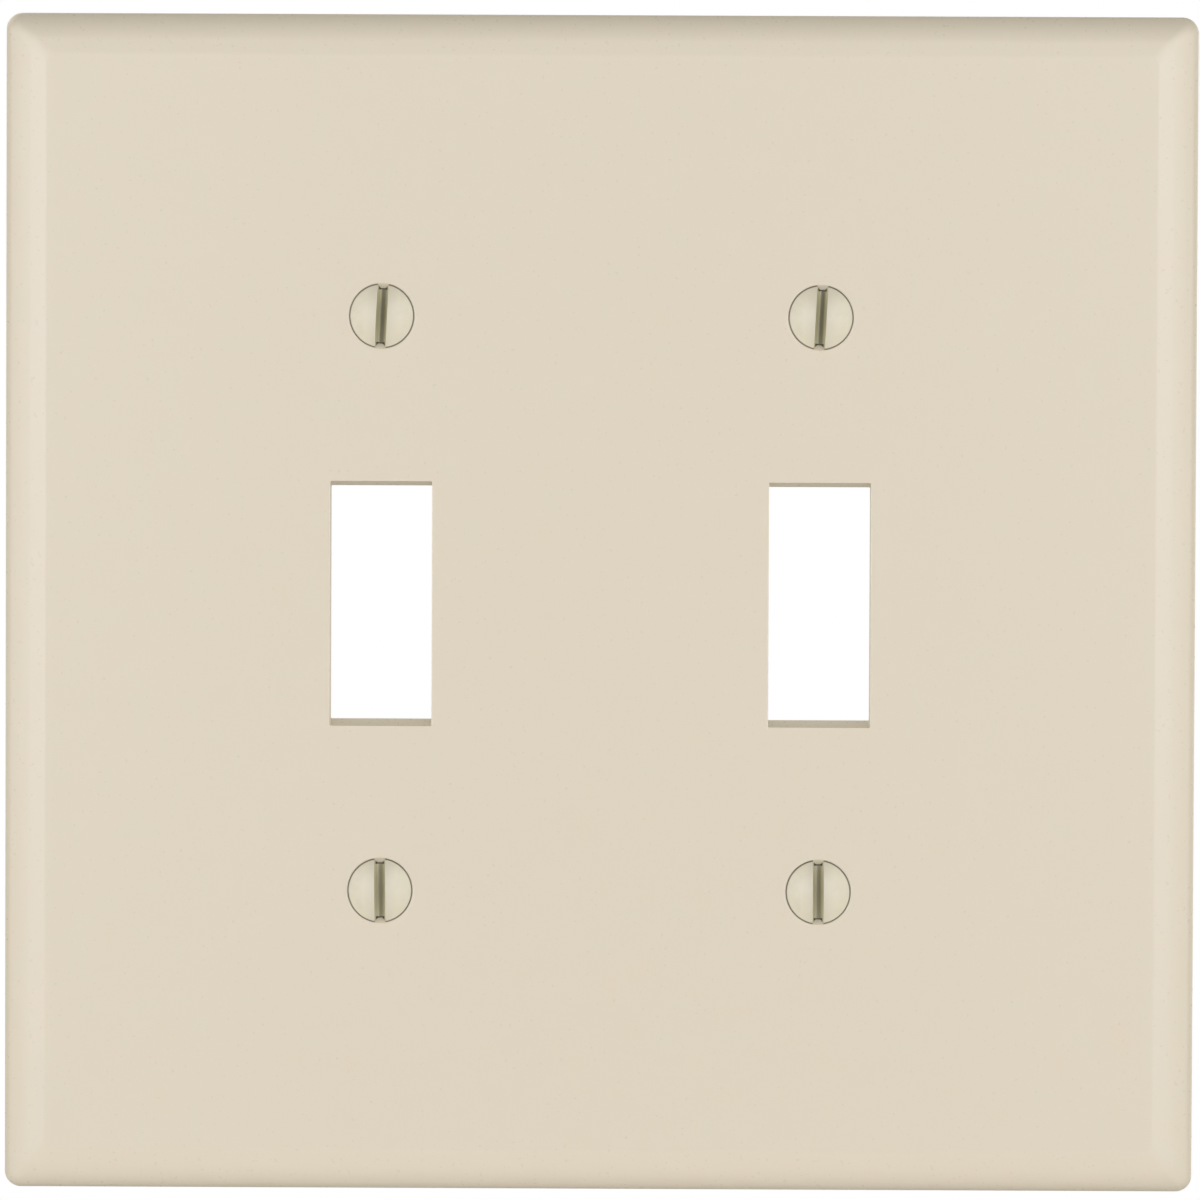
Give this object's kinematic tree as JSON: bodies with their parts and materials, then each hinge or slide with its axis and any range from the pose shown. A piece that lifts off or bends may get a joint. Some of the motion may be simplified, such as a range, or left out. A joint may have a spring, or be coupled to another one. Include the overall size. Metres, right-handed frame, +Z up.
{
  "type": "toggle switch wall plate",
  "caption": "Wide rectangular wall plate with rolled edges, side-by-side toggle openings and oval-head slotted screws seated in countersinks.",
  "frame": {"origin": "middle of the plate's outline, on the wall surface that its rear rim rests on", "axes": "+Y into the wall, so the face looks along -Y; +X along the row of gangs, to the right as seen from the front; +Z up"},
  "size_m": [0.1254, 0.0136, 0.1238],
  "materials": {
    "almond_plastic": "satin thermoset moulding, light almond, with a very fine matte texture",
    "almond_paint": "satin light almond paint over plated steel"
  },
  "bodies": {
    "plate": {"plate": "almond_plastic"},
    "upper_left_screw": {"upper_left_screw": "almond_paint"},
    "upper_right_screw": {"upper_right_screw": "almond_paint"},
    "lower_left_screw": {"lower_left_screw": "almond_paint"},
    "lower_right_screw": {"lower_right_screw": "almond_paint"}
  },
  "joints": [
    {"name": "upper_left_screw_turn", "type": "hinge", "parent": "plate", "child": "upper_left_screw", "pos_m": [-0.02302, -0.00635, 0.03016], "axis": [0, 1, 0], "continuous": true},
    {"name": "upper_right_screw_turn", "type": "hinge", "parent": "plate", "child": "upper_right_screw", "pos_m": [0.02302, -0.00635, 0.03016], "axis": [0, 1, 0], "continuous": true},
    {"name": "lower_left_screw_turn", "type": "hinge", "parent": "plate", "child": "lower_left_screw", "pos_m": [-0.02302, -0.00635, -0.03016], "axis": [0, 1, 0], "continuous": true},
    {"name": "lower_right_screw_turn", "type": "hinge", "parent": "plate", "child": "lower_right_screw", "pos_m": [0.02302, -0.00635, -0.03016], "axis": [0, 1, 0], "continuous": true}
  ]
}
